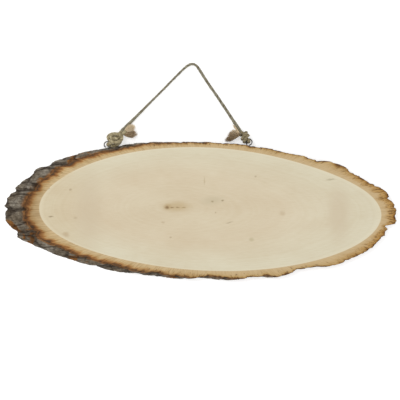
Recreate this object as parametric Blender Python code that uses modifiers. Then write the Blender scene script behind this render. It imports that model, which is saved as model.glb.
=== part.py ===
"""Rustic wood slice with a rope hanger, lying on its back.

A branch is sawn through at a long slant, so its round section becomes a long oval, and the bark that is
still on it leans over with the branch.  Two screw eyes sit in the upper edge, and a jute rope is knotted
to them, with a frayed end at each knot.

+X runs along the oval, +Y towards the rope, +Z out of the front face.  The back lies on z = 0.
"""

import bmesh
import bpy
import numpy as np
from math import cos, pi, radians, sin, tan
from mathutils import Matrix, Vector

MM = 0.001
GAP = 0.3 * MM

# Slice: a round branch, cut at a slant.
CUT_ANGLE = radians(21.7)
SIDE_LEAN = 0.1
THICKNESS = 8.5 * MM
WOOD_RADIUS = 63.5 * MM
BARK_THICKNESS = 6.4 * MM
OUTLINE_POINTS = 240

# Up the side of the bark: share of the thickness, and how far the bark stands proud of its sawn front edge.
BARK_PROUD = (
    (0.0, 0.5 * MM),
    (0.35, 1.0 * MM),
    (0.8, 0.9 * MM),
    (1.0, 0.0),
)

# The branch is out of round: waves round it, their height, and the angle of a crest in degrees.
WAVES = (
    (1, 0.6 * MM, 160.0),
    (2, 3.0 * MM, 142.5),
    (3, 0.9 * MM, 97.7),
    (4, 0.7 * MM, 8.3),
)

# Bark plates stand up and furrows go in: angle round the branch, half width in degrees, height.
BARK_RELIEF = (
    (0.0, 8.0, -0.4 * MM),
    (9.5, 1.6, -0.9 * MM),
    (26.0, 4.0, -0.7 * MM),
    (43.5, 3.8, 2.8 * MM),
    (50.5, 1.6, -0.9 * MM),
    (58.0, 3.0, 0.6 * MM),
    (100.0, 6.0, -0.8 * MM),
    (119.0, 2.4, -0.8 * MM),
    (139.0, 1.8, -1.2 * MM),
    (156.0, 10.0, -0.5 * MM),
    (163.0, 1.8, -1.2 * MM),
    (179.0, 1.6, -1.0 * MM),
    (198.0, 1.8, -1.2 * MM),
    (219.0, 9.0, 0.7 * MM),
    (238.0, 1.8, -1.0 * MM),
    (250.0, 16.0, 0.6 * MM),
    (252.0, 1.8, -1.0 * MM),
    (269.0, 1.6, -1.4 * MM),
    (279.0, 4.5, 2.0 * MM),
    (290.5, 4.2, 2.8 * MM),
    (299.5, 3.2, -2.4 * MM),
    (311.0, 5.5, 2.0 * MM),
    (338.0, 7.0, -1.3 * MM),
    (346.5, 2.0, -3.6 * MM),
)

# Screw eyes: how far along the slice, and how far the ring's centre stands off the bark.
EYES = {"left": (-96.0 * MM, 4.2 * MM), "right": (50.5 * MM, 4.5 * MM)}
EYE_WIRE_RADIUS = 0.65 * MM
EYE_RING_RADIUS = 3.15 * MM
EYE_RING_START = radians(-55.0)
EYE_RING_END = radians(238.0)
EYE_RING_POINTS = 28
EYE_NECK = 1.3 * MM
EYE_NECK_BEND = (0.35 * MM, 0.45 * MM)
THREAD_RADIUS = 1.05 * MM
THREAD_CORE_RADIUS = 0.75 * MM
THREAD_PITCH = 1.0 * MM
THREAD_TURNS = 9
THREAD_CREST = (0.3, 0.5, 0.7)
TIP_LENGTH = 1.6 * MM
PLAIN_SHANK = 1.2 * MM
WIRE_IN_THREAD = 3.0 * MM

# Rope: its size, and the route of its free stretch from the left knot over the top to the right knot.
ROPE_RADIUS = 1.1 * MM
ROPE_POINTS = 50
SPAN_STEPS = 40
ROPE_ROUTE_MM = (
    (-81.0, 81.7, 4.2),
    (-77.6, 85.3, 2.9),
    (-72.1, 90.9, 1.3),
    (-63.9, 99.2, 1.15),
    (-55.7, 107.5, 1.15),
    (-47.5, 115.7, 1.15),
    (-39.2, 124.0, 1.15),
    (-31.0, 132.4, 1.15),
    (-22.8, 140.7, 1.15),
    (-16.6, 146.7, 1.15),
    (-12.8, 149.7, 1.15),
    (-9.4, 151.2, 1.15),
    (-6.2, 151.0, 1.15),
    (-3.4, 149.1, 1.15),
    (-0.8, 145.5, 1.15),
    (4.8, 136.6, 1.15),
    (10.4, 128.2, 1.15),
    (16.2, 119.9, 1.15),
    (21.8, 111.6, 1.15),
    (27.4, 103.3, 1.15),
    (32.8, 95.0, 1.15),
    (36.6, 89.2, 1.6),
    (39.8, 84.3, 3.2),
    (41.9, 81.0, 4.3),
)

# Knots: egg-shaped lobes, each with its centre, its three half sizes, and its turn about Z in degrees.
KNOTS_MM = {
    "left": (
        ((-87.2, 74.8, 4.95), (8.8, 6.6, 4.85), 30.0),
        ((-90.2, 69.8, 6.1), (4.8, 3.8, 3.7), 10.0),
    ),
    "right": (
        ((46.9, 74.8, 4.95), (6.9, 5.2, 4.85), 118.0),
        ((46.2, 71.4, 4.3), (4.2, 3.2, 4.1), 60.0),
    ),
}

# Frayed ends: each is one or two tapering bundles, as points with the bundle's radius there.
BUNDLE_POINTS = 10
FRAYED_ENDS_MM = {
    "left": (
        ((-78.0, 77.8, 3.6, 1.6), (-74.6, 79.0, 3.7, 3.0), (-69.6, 79.8, 4.2, 4.1), (-65.6, 79.6, 3.8, 2.8)),
        ((-75.6, 81.4, 4.0, 1.4), (-71.6, 84.4, 3.6, 2.5), (-68.0, 87.0, 3.2, 2.1)),
    ),
    "right": (
        ((40.9, 78.6, 3.6, 1.6), (35.4, 79.3, 3.6, 3.2), (30.3, 76.4, 3.0, 2.7), (26.4, 71.9, 1.9, 1.2)),
    ),
}

LEAN = 1.0 / tan(CUT_ANGLE)
STRETCH = 1.0 / sin(CUT_ANGLE)
EYE_HEIGHT = THICKNESS / 2
WELD = 0.01 * MM
THREAD_LENGTH = THREAD_TURNS * THREAD_PITCH + TIP_LENGTH


def material(name, colour, roughness, metallic=0.0):
    made = bpy.data.materials.new(name)
    made.use_nodes = True
    shader = made.node_tree.nodes["Principled BSDF"]
    shader.inputs["Base Color"].default_value = (*colour, 1.0)
    shader.inputs["Roughness"].default_value = roughness
    shader.inputs["Metallic"].default_value = metallic
    return made


def add_part(name, data, finish):
    part = bpy.data.objects.new(name, data)
    part.data.materials.append(finish)
    parts.objects.link(part)
    return part


def add_cutter(name, data):
    cutter = bpy.data.objects.new(name, data)
    cutter.hide_render = True
    cutter.display_type = 'WIRE'
    cutters.objects.link(cutter)
    return cutter


def combine(part, cutter, operation):
    modifier = part.modifiers.new(cutter.name, 'BOOLEAN')
    modifier.operation = operation
    modifier.solver = 'EXACT'
    modifier.object = cutter


def bark_radius(angles):
    """Distance from the branch's axis to its bark, square to the axis: a circle with waves and plates."""
    radius = WOOD_RADIUS + BARK_THICKNESS + np.zeros_like(angles)
    for count, height, crest in WAVES:
        radius += height * np.cos(count * (angles - radians(crest)))
    for centre, half_width, height in BARK_RELIEF:
        offset = (np.degrees(angles) - centre + 180.0) % 360.0 - 180.0
        radius += height * np.exp(-(offset / half_width) ** 2)
    return radius


def section(share):
    """Outline at a share of the thickness: the branch's section, stretched along X, leaning with it."""
    angles = np.arange(OUTLINE_POINTS) * 2 * pi / OUTLINE_POINTS
    shares, prouds = zip(*BARK_PROUD)
    radius = bark_radius(angles) + np.interp(share, shares, prouds)
    along = radius * np.cos(angles) * STRETCH + (share - 0.5) * THICKNESS * LEAN
    across = radius * np.sin(angles) + (share - 1.0) * THICKNESS * SIDE_LEAN
    return along, across


def upper_edge(along):
    """Y of the slice's upper edge at half its thickness."""
    xs, ys = section(0.5)
    upper = ys > 0
    order = np.argsort(xs[upper])
    return float(np.interp(along, xs[upper][order], ys[upper][order]))


def slice_mesh():
    """A loft: outlines from the back face to the front, joined by bands of faces, both ends closed."""
    bm = bmesh.new()
    rings = []
    for share, _ in BARK_PROUD:
        rings.append([bm.verts.new((x, y, share * THICKNESS)) for x, y in zip(*section(share))])
    for low, high in zip(rings, rings[1:]):
        for here in range(OUTLINE_POINTS):
            before = here - 1
            bm.faces.new((low[before], low[here], high[here], high[before]))
    bm.faces.new(rings[0])
    bm.faces.new(rings[-1])
    bmesh.ops.recalc_face_normals(bm, faces=bm.faces)
    mesh = bpy.data.meshes.new("wood_slice")
    bm.to_mesh(mesh)
    bm.free()
    return mesh


def cylinder_mesh(name, radius, length):
    bm = bmesh.new()
    bmesh.ops.create_cone(bm, cap_ends=True, segments=24, radius1=radius, radius2=radius, depth=length)
    mesh = bpy.data.meshes.new(name)
    bm.to_mesh(mesh)
    bm.free()
    return mesh


def tube_curve(name, points, radii, roundness=2):
    """A tube along a line of points, with its own radius at each point and its ends filled."""
    curve = bpy.data.curves.new(name, 'CURVE')
    curve.dimensions = '3D'
    curve.bevel_depth = float(max(radii))
    curve.bevel_resolution = roundness
    curve.use_fill_caps = True
    spline = curve.splines.new('POLY')
    spline.points.add(len(points) - 1)
    for point, place, radius in zip(spline.points, points, radii):
        point.co = (*place, 1.0)
        point.radius = radius / curve.bevel_depth
    return curve


def curve_as_mesh(name, curve):
    """The closed mesh of a tube, with its end caps welded on."""
    guide = bpy.data.objects.new(name, curve)
    cutters.objects.link(guide)
    depsgraph = bpy.context.evaluated_depsgraph_get()
    mesh = bpy.data.meshes.new_from_object(guide.evaluated_get(depsgraph))
    bpy.data.objects.remove(guide)
    bm = bmesh.new()
    bm.from_mesh(mesh)
    bmesh.ops.remove_doubles(bm, verts=bm.verts, dist=WELD)
    bmesh.ops.recalc_face_normals(bm, faces=bm.faces)
    bm.to_mesh(mesh)
    bm.free()
    return mesh


def smooth_route(points, count):
    """Evenly spaced places on a smooth curve through all the points (Catmull-Rom spans)."""
    points = np.array(points)
    padded = np.vstack((2 * points[0] - points[1], points, 2 * points[-1] - points[-2]))
    t = np.linspace(0.0, 1.0, SPAN_STEPS, endpoint=False)[:, None]
    spans = []
    for a, b, c, d in zip(padded, padded[1:], padded[2:], padded[3:]):
        spans.append(0.5 * (2 * b + (c - a) * t + (2 * a - 5 * b + 4 * c - d) * t ** 2
                            + (3 * b - a - 3 * c + d) * t ** 3))
    fine = np.vstack(spans + [points[-1:]])
    travelled = np.concatenate(([0.0], np.cumsum(np.linalg.norm(np.diff(fine, axis=0), axis=1))))
    even = np.linspace(0.0, travelled[-1], count)
    return np.column_stack([np.interp(even, travelled, fine[:, axis]) for axis in range(fine.shape[1])])


def eye_wire_points():
    """Path of the eye's wire, about the ring's centre: up the shank, aside, and round the ring."""
    shank_end = -EYE_RING_RADIUS - EYE_NECK
    shank = [(0.0, shank_end - PLAIN_SHANK - WIRE_IN_THREAD, 0.0), (0.0, shank_end, 0.0)]
    bend = [(EYE_NECK_BEND[0], -EYE_RING_RADIUS - EYE_NECK_BEND[1], 0.0)]
    turns = np.linspace(EYE_RING_START, EYE_RING_END, EYE_RING_POINTS)
    ring = [(EYE_RING_RADIUS * cos(turn), EYE_RING_RADIUS * sin(turn), 0.0) for turn in turns]
    return shank + bend + ring


def thread_mesh(name):
    """Threaded end of the shank, drawn as rings at the thread's pitch, ending in a point at -Y."""
    profile = [(0.0, 0.0), (THREAD_CORE_RADIUS, 0.0)]
    for turn in range(THREAD_TURNS):
        start = turn * THREAD_PITCH
        for share, radius in zip(THREAD_CREST, (THREAD_CORE_RADIUS, THREAD_RADIUS, THREAD_CORE_RADIUS)):
            profile.append((radius, start + share * THREAD_PITCH))
    profile.append((THREAD_CORE_RADIUS, THREAD_TURNS * THREAD_PITCH))
    profile.append((0.0, THREAD_LENGTH))
    bm = bmesh.new()
    verts = [bm.verts.new((radius, -depth, 0.0)) for radius, depth in profile]
    for first, second in zip(verts, verts[1:]):
        bm.edges.new((first, second))
    mesh = bpy.data.meshes.new(name)
    bm.to_mesh(mesh)
    bm.free()
    return mesh


def turn_about_y(part):
    screw = part.modifiers.new("turned", 'SCREW')
    screw.axis = 'Y'
    screw.steps = 12
    screw.render_steps = 12
    screw.use_merge_vertices = True
    screw.merge_threshold = WELD
    screw.use_normal_calculate = True


def build_slice():
    bark_and_wood = material("slice_wood", (0.66, 0.57, 0.41), 0.6)
    return add_part("wood_slice", slice_mesh(), bark_and_wood)


def build_eye(side, wood):
    """One screw eye, its shank in a pilot hole in the slice's upper edge."""
    along, stand_off = EYES[side]
    rim = upper_edge(along)
    centre = Vector((along, rim + stand_off, EYE_HEIGHT))
    steel = material("eye_steel_" + side, (0.42, 0.41, 0.39), 0.35, 1.0)
    points = eye_wire_points()
    wire = tube_curve("eye_wire", points, [EYE_WIRE_RADIUS] * len(points))
    eye = add_part("screw_eye_" + side, curve_as_mesh("eye_wire", wire), steel)
    eye.location = centre

    thread_start = -stand_off - PLAIN_SHANK
    thread = add_cutter("thread_" + side, thread_mesh("thread"))
    thread.location = centre + Vector((0.0, thread_start, 0.0))
    turn_about_y(thread)
    combine(eye, thread, 'UNION')

    depth = PLAIN_SHANK + THREAD_LENGTH + GAP
    hole = add_cutter("pilot_hole_" + side, cylinder_mesh("pilot_hole", THREAD_RADIUS + GAP, 2 * depth))
    hole.rotation_euler = (pi / 2, 0.0, 0.0)
    hole.location = (along, rim, EYE_HEIGHT)
    combine(wood, hole, 'DIFFERENCE')
    return centre


def egg_mesh(name, half_sizes):
    bm = bmesh.new()
    bmesh.ops.create_uvsphere(bm, u_segments=20, v_segments=12, radius=1.0)
    bmesh.ops.scale(bm, vec=[size * MM for size in half_sizes], verts=bm.verts)
    mesh = bpy.data.meshes.new(name)
    bm.to_mesh(mesh)
    bm.free()
    return mesh


def torus_mesh(name, ring_radius, tube_radius):
    """A ring swept round Z, from a circle carried round by bmesh's spin."""
    bm = bmesh.new()
    circle = bmesh.ops.create_circle(bm, segments=10, radius=tube_radius)["verts"]
    stand = Matrix.Translation((ring_radius, 0.0, 0.0)) @ Matrix.Rotation(pi / 2, 4, 'X')
    bmesh.ops.transform(bm, matrix=stand, verts=circle)
    bmesh.ops.spin(bm, geom=bm.verts[:] + bm.edges[:], cent=(0, 0, 0), axis=(0, 0, 1), angle=2 * pi,
                   steps=28, use_merge=True)
    bmesh.ops.recalc_face_normals(bm, faces=bm.faces)
    mesh = bpy.data.meshes.new(name)
    bm.to_mesh(mesh)
    bm.free()
    return mesh


def build_knot(side, eye_centre):
    """The knot grips the ring's wire: egg-shaped lobes joined, with a tunnel where the wire runs."""
    jute = material("knot_jute_" + side, (0.28, 0.23, 0.15), 0.95)
    knot = None
    for index, (centre, half_sizes, turn) in enumerate(KNOTS_MM[side]):
        mesh = egg_mesh("knot_lobe", half_sizes)
        if knot is None:
            knot = add_part("knot_" + side, mesh, jute)
            lobe = knot
        else:
            lobe = add_cutter("lobe_%s_%d" % (side, index), mesh)
            combine(knot, lobe, 'UNION')
        lobe.location = Vector(centre) * MM
        lobe.rotation_euler = (0.0, 0.0, radians(turn))
    tunnel = add_cutter("tunnel_" + side, torus_mesh("tunnel", EYE_RING_RADIUS, EYE_WIRE_RADIUS + GAP))
    tunnel.location = eye_centre
    combine(knot, tunnel, 'DIFFERENCE')


def build_rope():
    jute = material("rope_jute", (0.25, 0.22, 0.14), 0.95)
    points = smooth_route(ROPE_ROUTE_MM, ROPE_POINTS) * MM
    rope = tube_curve("rope", points, [ROPE_RADIUS] * ROPE_POINTS)
    add_part("rope", rope, jute)


def build_frayed_end(side):
    """Where the rope's end comes undone: bundles of fibre that swell and then taper."""
    jute = material("frayed_jute_" + side, (0.35, 0.27, 0.17), 0.95)
    frayed = None
    for index, bundle in enumerate(FRAYED_ENDS_MM[side]):
        path = smooth_route(bundle, BUNDLE_POINTS) * MM
        curve = tube_curve("bundle", path[:, :3], path[:, 3], roundness=4)
        mesh = curve_as_mesh("bundle", curve)
        if frayed is None:
            frayed = add_part("frayed_end_" + side, mesh, jute)
        else:
            combine(frayed, add_cutter("bundle_%s_%d" % (side, index), mesh), 'UNION')


for old in list(bpy.data.objects):
    bpy.data.objects.remove(old)
parts = bpy.data.collections.new("hanging_wood_slice")
cutters = bpy.data.collections.new("cutters")
for collection in (parts, cutters):
    bpy.context.scene.collection.children.link(collection)

wood_slice = build_slice()
build_rope()
for side_name in EYES:
    ring_centre = build_eye(side_name, wood_slice)
    build_knot(side_name, ring_centre)
    build_frayed_end(side_name)
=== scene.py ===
"""Looks of the hanging wood slice: a slant-cut slice of lime branch with its bark, two plated screw eyes
and a jute rope tied to them, laid on its back on a pale floor."""

import bpy
import numpy as np
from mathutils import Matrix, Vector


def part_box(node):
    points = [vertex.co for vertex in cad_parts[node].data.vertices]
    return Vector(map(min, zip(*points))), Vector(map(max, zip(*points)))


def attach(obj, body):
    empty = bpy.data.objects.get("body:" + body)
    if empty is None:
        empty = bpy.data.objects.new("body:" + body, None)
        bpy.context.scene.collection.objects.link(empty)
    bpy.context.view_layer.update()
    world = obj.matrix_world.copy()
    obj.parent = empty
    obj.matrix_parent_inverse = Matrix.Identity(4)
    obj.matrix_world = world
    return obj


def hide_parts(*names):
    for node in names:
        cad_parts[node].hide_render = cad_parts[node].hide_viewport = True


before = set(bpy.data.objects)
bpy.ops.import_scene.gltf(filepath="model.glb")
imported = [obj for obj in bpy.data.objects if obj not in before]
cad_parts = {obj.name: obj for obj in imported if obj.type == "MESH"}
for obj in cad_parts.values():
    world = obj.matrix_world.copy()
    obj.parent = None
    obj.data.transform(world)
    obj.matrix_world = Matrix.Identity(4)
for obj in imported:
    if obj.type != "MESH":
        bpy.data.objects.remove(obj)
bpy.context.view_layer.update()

MM = 0.001

# ---------------------------------------------------------------- the slice, as the frame holds it

CUT_ANGLE = np.radians(21.7)
SIDE_LEAN = 0.1
WOOD_RADIUS = 63.5 * MM
BARK_THICKNESS = 6.4 * MM
SLICE_LOW, SLICE_HIGH = (np.array(corner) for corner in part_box("wood_slice"))
THICKNESS = float(SLICE_HIGH[2] - SLICE_LOW[2])
LEAN = 1.0 / np.tan(CUT_ANGLE)
STRETCH = 1.0 / np.sin(CUT_ANGLE)

# Up the side of the bark: share of the thickness, and how far the bark stands proud of its sawn front edge.
BARK_PROUD = ((0.0, 0.5 * MM), (0.35, 1.0 * MM), (0.8, 0.9 * MM), (1.0, 0.0))

# The branch is out of round: waves round it, their height, and the angle of a crest in degrees.
WAVES = ((1, 0.6 * MM, 160.0), (2, 3.0 * MM, 142.5), (3, 0.9 * MM, 97.7), (4, 0.7 * MM, 8.3))

# Bark plates stand up and furrows go in: angle round the branch, half width in degrees, height.
BARK_RELIEF = (
    (0.0, 8.0, -0.4 * MM), (9.5, 1.6, -0.9 * MM), (26.0, 4.0, -0.7 * MM), (43.5, 3.8, 2.8 * MM),
    (50.5, 1.6, -0.9 * MM), (58.0, 3.0, 0.6 * MM), (100.0, 6.0, -0.8 * MM), (119.0, 2.4, -0.8 * MM),
    (139.0, 1.8, -1.2 * MM), (156.0, 10.0, -0.5 * MM), (163.0, 1.8, -1.2 * MM), (179.0, 1.6, -1.0 * MM),
    (198.0, 1.8, -1.2 * MM), (219.0, 9.0, 0.7 * MM), (238.0, 1.8, -1.0 * MM), (250.0, 16.0, 0.6 * MM),
    (252.0, 1.8, -1.0 * MM), (269.0, 1.6, -1.4 * MM), (279.0, 4.5, 2.0 * MM), (290.5, 4.2, 2.8 * MM),
    (299.5, 3.2, -2.4 * MM), (311.0, 5.5, 2.0 * MM), (338.0, 7.0, -1.3 * MM), (346.5, 2.0, -3.6 * MM),
)

# Smaller chips and scales that only the finished bark has, given the same way.
BARK_SCALES = (
    (17.0, 4.0, 0.8 * MM), (39.5, 2.0, 0.8 * MM), (48.5, 2.0, 1.6 * MM), (62.0, 3.5, -0.7 * MM),
    (86.0, 8.0, -0.8 * MM), (94.0, 7.0, -0.8 * MM), (114.0, 3.0, -0.7 * MM), (138.0, 8.0, 0.4 * MM),
    (143.5, 2.5, 0.7 * MM), (150.0, 4.0, -0.8 * MM), (165.0, 10.0, -0.7 * MM), (176.0, 5.0, -0.5 * MM),
    (183.0, 3.0, -0.7 * MM), (204.0, 5.0, 1.3 * MM), (218.0, 4.0, -0.7 * MM), (243.0, 12.0, 1.0 * MM),
    (262.0, 5.0, 0.5 * MM), (265.0, 4.0, 0.8 * MM), (273.0, 3.0, -0.6 * MM), (288.4, 2.0, -2.4 * MM),
    (297.0, 3.0, 0.7 * MM), (305.0, 2.5, -1.3 * MM), (322.0, 8.0, 0.7 * MM), (336.6, 1.0, -0.5 * MM),
    (338.6, 0.8, 0.6 * MM), (342.0, 3.0, -1.2 * MM), (348.0, 1.5, 1.2 * MM), (355.0, 4.0, -0.8 * MM),
)

# ---------------------------------------------------------------- the rope, along the frame's route

ROPE_ROUTE_MM = (
    (-81.0, 81.7, 4.2), (-77.6, 85.3, 2.9), (-72.1, 90.9, 1.3), (-63.9, 99.2, 1.15),
    (-55.7, 107.5, 1.15), (-47.5, 115.7, 1.15), (-39.2, 124.0, 1.15), (-31.0, 132.4, 1.15),
    (-22.8, 140.7, 1.15), (-16.6, 146.7, 1.15), (-12.8, 149.7, 1.15), (-9.4, 151.2, 1.15),
    (-6.2, 151.0, 1.15), (-3.4, 149.1, 1.15), (-0.8, 145.5, 1.15), (4.8, 136.6, 1.15),
    (10.4, 128.2, 1.15), (16.2, 119.9, 1.15), (21.8, 111.6, 1.15), (27.4, 103.3, 1.15),
    (32.8, 95.0, 1.15), (36.6, 89.2, 1.6), (39.8, 84.3, 3.2), (41.9, 81.0, 4.3),
)

# Share of the way along the rope, and its radius there: slack and thicker where it leaves each knot.
ROPE_RADIUS_MM = (
    (0.0, 0.06, 0.12, 0.2, 0.3, 0.5, 0.6, 0.85, 1.0),
    (1.9, 1.75, 1.45, 1.2, 1.1, 1.2, 1.45, 1.55, 1.8),
)


# ---------------------------------------------------------------- materials: helpers

def linear(hex_colour):
    """Linear RGBA of an sRGB hex value."""
    srgb = np.array([int(hex_colour[i:i + 2], 16) for i in (1, 3, 5)]) / 255.0
    channels = np.where(srgb <= 0.04045, srgb / 12.92, ((srgb + 0.055) / 1.055) ** 2.4)
    return (*[float(c) for c in channels], 1.0)


def new_material(name):
    material = bpy.data.materials.new(name)
    material.use_nodes = True
    material.node_tree.nodes.clear()
    return material


def node(material, kind, settings=None, values=None, links=None, stops=None):
    """Add a node: its settings, {input: value}, {input: (node, output)}, and a ramp's (place, colour)."""
    made = material.node_tree.nodes.new("ShaderNode" + kind)
    for key, value in (settings or {}).items():
        setattr(made, key, value)
    for key, value in (values or {}).items():
        made.inputs[key].default_value = value
    for key, (source, output) in (links or {}).items():
        material.node_tree.links.new(source.outputs[output], made.inputs[key])
    for index, (position, colour) in enumerate(stops or ()):
        elements = made.color_ramp.elements
        stop = elements[index] if index < 2 else elements.new(position)
        stop.position = position
        stop.color = colour if isinstance(colour, tuple) else linear(colour)
    return made


# Settings that many nodes share, and the sockets of a Mix node that mixes colours.
SMOOTH = {"interpolation_type": 'SMOOTHSTEP'}
TIMES = {"operation": 'MULTIPLY'}
TIMES_PLUS = {"operation": 'MULTIPLY_ADD'}
MIX_COLOUR = {"data_type": 'RGBA'}
TINT = {"data_type": 'RGBA', "blend_type": 'MULTIPLY'}
FIRST, SECOND, MIXED = 6, 7, 2


# ---------------------------------------------------------------- shapes: helpers

# Lines of random values that a noise lattice has before it comes round again.
LATTICE_LINES = 97

def way_travelled(path):
    """Distance travelled along a path, at each of its points."""
    return np.concatenate(([0.0], np.cumsum(np.linalg.norm(np.diff(path, axis=0), axis=1))))


def smooth_route(points, count):
    """Evenly spaced places on a smooth curve through all the points (Catmull-Rom spans)."""
    points = np.array(points, dtype=float)
    padded = np.vstack((2 * points[0] - points[1], points, 2 * points[-1] - points[-2]))
    t = np.linspace(0.0, 1.0, 40, endpoint=False)[:, None]
    a, b, c, d = padded[:-3, None], padded[1:-2, None], padded[2:-1, None], padded[3:, None]
    spans = 0.5 * (2 * b + (c - a) * t + (2 * a - 5 * b + 4 * c - d) * t ** 2
                   + (3 * b - a - 3 * c + d) * t ** 3)
    fine = np.vstack((spans.reshape(-1, points.shape[1]), points[-1:]))
    travelled = way_travelled(fine)
    even = np.linspace(0.0, travelled[-1], count)
    return np.column_stack([np.interp(even, travelled, column) for column in fine.T])


def unit(vectors):
    return vectors / np.linalg.norm(vectors, axis=-1, keepdims=True)


def carried_frames(path):
    """Tangent, side and top of a path at each point; the side is carried on without turning about it."""
    tangent = unit(np.gradient(path, axis=0))
    side = np.empty_like(path)
    side[0] = unit(np.cross(tangent[0], (0.13, 0.21, 0.97)))
    for here in range(1, len(path)):
        side[here] = unit(side[here - 1] - tangent[here] * np.dot(side[here - 1], tangent[here]))
    return tangent, side, np.cross(tangent, side)


def rings_round(path, side, top, around, reach):
    """Rings of points round a path, each point `reach` away from it at its angle."""
    out = np.cos(around)[None, :, None] * side[:, None, :] + np.sin(around)[None, :, None] * top[:, None, :]
    return path[:, None, :] + reach[..., None] * out


def closed_grid(name, rows, first_pole, last_pole, attributes=None):
    """A skin of rows of points, each row a closed loop, shut by a point at each end."""
    count, around = rows.shape[:2]
    points = np.vstack((rows.reshape(-1, 3), first_pole, last_pole))
    grid = np.arange(count * around).reshape(count, around)
    after = np.roll(grid, -1, axis=1)
    quads = np.stack((grid[:-1], grid[1:], after[1:], after[:-1]), axis=-1).reshape(-1, 4)
    first = np.column_stack((np.full(around, count * around), grid[0], after[0]))
    last = np.column_stack((np.full(around, count * around + 1), after[-1], grid[-1]))
    mesh = bpy.data.meshes.new(name)
    mesh.from_pydata(points.tolist(), [], quads.tolist() + first.tolist() + last.tolist())
    for key, (values, first_value, last_value) in (attributes or {}).items():
        layer = mesh.attributes.new(key, 'FLOAT_VECTOR' if values.ndim == 3 else 'FLOAT', 'POINT')
        width = values.shape[2] if values.ndim == 3 else 1
        flat = np.vstack((values.reshape(-1, width), np.full(width, first_value), np.full(width, last_value)))
        layer.data.foreach_set("vector" if values.ndim == 3 else "value", flat.ravel().astype(np.float32))
    mesh.shade_smooth()
    return mesh


def place(name, mesh, *materials):
    piece = bpy.data.objects.new(name, mesh)
    bpy.context.scene.collection.objects.link(piece)
    for material in materials:
        mesh.materials.append(material)
    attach(piece, "root")
    return piece


def lattice_noise(x, y, seed, repeat):
    """Smooth random heights, -1 to 1: seeded values on a unit lattice, blended by a smooth step between
    its corners; along x the lattice comes round again after `repeat` cells."""
    values = np.random.default_rng(seed).uniform(-1.0, 1.0, (repeat, LATTICE_LINES))
    column, line = np.floor(x).astype(int), np.floor(y).astype(int)
    u, v = x - column, y - line
    u, v = u * u * (3 - 2 * u), v * v * (3 - 2 * v)
    near, far = column % repeat, (column + 1) % repeat
    below, above = line % LATTICE_LINES, (line + 1) % LATTICE_LINES
    low = values[near, below] * (1 - u) + values[far, below] * u
    high = values[near, above] * (1 - u) + values[far, above] * u
    return low * (1 - v) + high * v


def cracked_plates(x, y, seed, repeat):
    """Plates with cracks between them: with one random point in each unit cell, the distance to the second
    nearest point less that to the nearest, which is 0 along a crack and grows into a plate."""
    points = np.random.default_rng(seed).uniform(0.12, 0.88, (repeat, LATTICE_LINES, 2))
    column, line = np.floor(x).astype(int), np.floor(y).astype(int)
    nearest = np.full(x.shape, 9.0)
    second = np.full(x.shape, 9.0)
    for across in (-1, 0, 1):
        for up in (-1, 0, 1):
            i, j = column + across, line + up
            spot = points[i % repeat, j % LATTICE_LINES]
            distance = np.hypot(i + spot[..., 0] - x, j + spot[..., 1] - y)
            second = np.minimum(second, np.maximum(nearest, distance))
            nearest = np.minimum(nearest, distance)
    return second - nearest


def smooth_step(low, high, values):
    t = np.clip((values - low) / (high - low), 0.0, 1.0)
    return t * t * (3 - 2 * t)


# ---------------------------------------------------------------- slice: shape

COLUMNS = 1240
WOOD_ROWS = np.linspace(0.1, 1.0, 9)
INNER_BARK_ROWS = np.linspace(1.0, 2.0, 16)[1:]
SIDE_ROWS = np.linspace(0.94, 0.05, 31)
BACK_BARK_ROWS = np.linspace(2.0, 1.0, 6)[:-1]
PITH = np.array((-34.1, 2.8)) * MM
BRANCH_ROUND = 440.0
TORN_ANGLE = 193.0
BACK_CHIPS = 0.4
# Length of the rim round the oval, and width across its cut bark, in mm, that the bark's pattern is laid on.
RIM_ROUND = 890.0
RIM_ACROSS = 6.5


def branch_angles():
    """Angles round the branch, spread so that the points lie evenly along the oval rim."""
    fine = np.linspace(0.0, 2 * np.pi, 20001)
    pace = np.hypot(np.sin(fine) * STRETCH, np.cos(fine)) ** 0.9
    travelled = np.concatenate(([0.0], np.cumsum((pace[1:] + pace[:-1]) / 2)))
    return np.interp(np.arange(COLUMNS) / COLUMNS * travelled[-1], travelled, fine)


def bell(angles, centre, half_width):
    """1 at an angle round the branch, falling off to both sides of it, both given in degrees."""
    offset = (np.degrees(angles) - centre + 180.0) % 360.0 - 180.0
    return np.exp(-(offset / half_width) ** 2)


def drawn_out(angles):
    """How far the slant draws the bark's relief out at an angle round the branch."""
    return np.hypot(np.cos(angles) * STRETCH, np.sin(angles)) ** 0.75


def wood_radius(angles):
    """Distance from the branch's middle to the edge of its wood: a circle with waves."""
    radius = np.full(angles.shape, WOOD_RADIUS)
    for count, height, crest in WAVES:
        radius += height * np.cos(count * (angles - np.radians(crest)))
    return radius


def bark_radius(angles):
    """Distance from the branch's middle to its bark: the wood, the bark on it, and its plates."""
    radius = wood_radius(angles) + BARK_THICKNESS
    for centre, half_width, height in BARK_RELIEF + BARK_SCALES:
        radius += height * bell(angles, centre, half_width)
    return radius


def named_furrows(angles):
    """How deep a place lies in one of the bark's long furrows, 0 to 1: a bell across each narrow hollow."""
    depth = np.zeros(angles.shape)
    for centre, half_width, height in BARK_RELIEF:
        if half_width < 2.0 and height < 0.0:
            depth = np.maximum(depth, bell(angles, centre, half_width))
    return depth


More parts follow.
